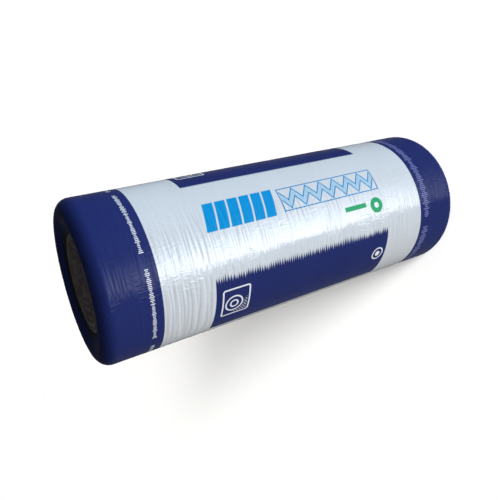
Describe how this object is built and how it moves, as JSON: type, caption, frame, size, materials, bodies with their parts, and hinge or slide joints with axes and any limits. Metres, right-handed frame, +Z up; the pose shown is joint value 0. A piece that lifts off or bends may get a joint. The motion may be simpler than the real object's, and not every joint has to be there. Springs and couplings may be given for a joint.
{
  "type": "insulation roll",
  "caption": "Packed roll of mineral wool insulation in a printed film sleeve, standing on one end. The wound mat shows through a round mouth in the film at each end.",
  "frame": {"origin": "on the floor, under the middle of the roll as it stands on one end", "axes": "+Z up along the roll's axis, -Y the side that the picture shows, +X to the right of that side"},
  "size_m": [0.4469, 0.447, 1.2],
  "materials": {
    "mineral_wool": "matt and fibrous, dark grey brown",
    "printed_film": "glossy polyethylene film, printed navy and silver white"
  },
  "bodies": {
    "root": {"wool_roll": "mineral_wool", "film_wrap": "printed_film"}
  },
  "joints": []
}
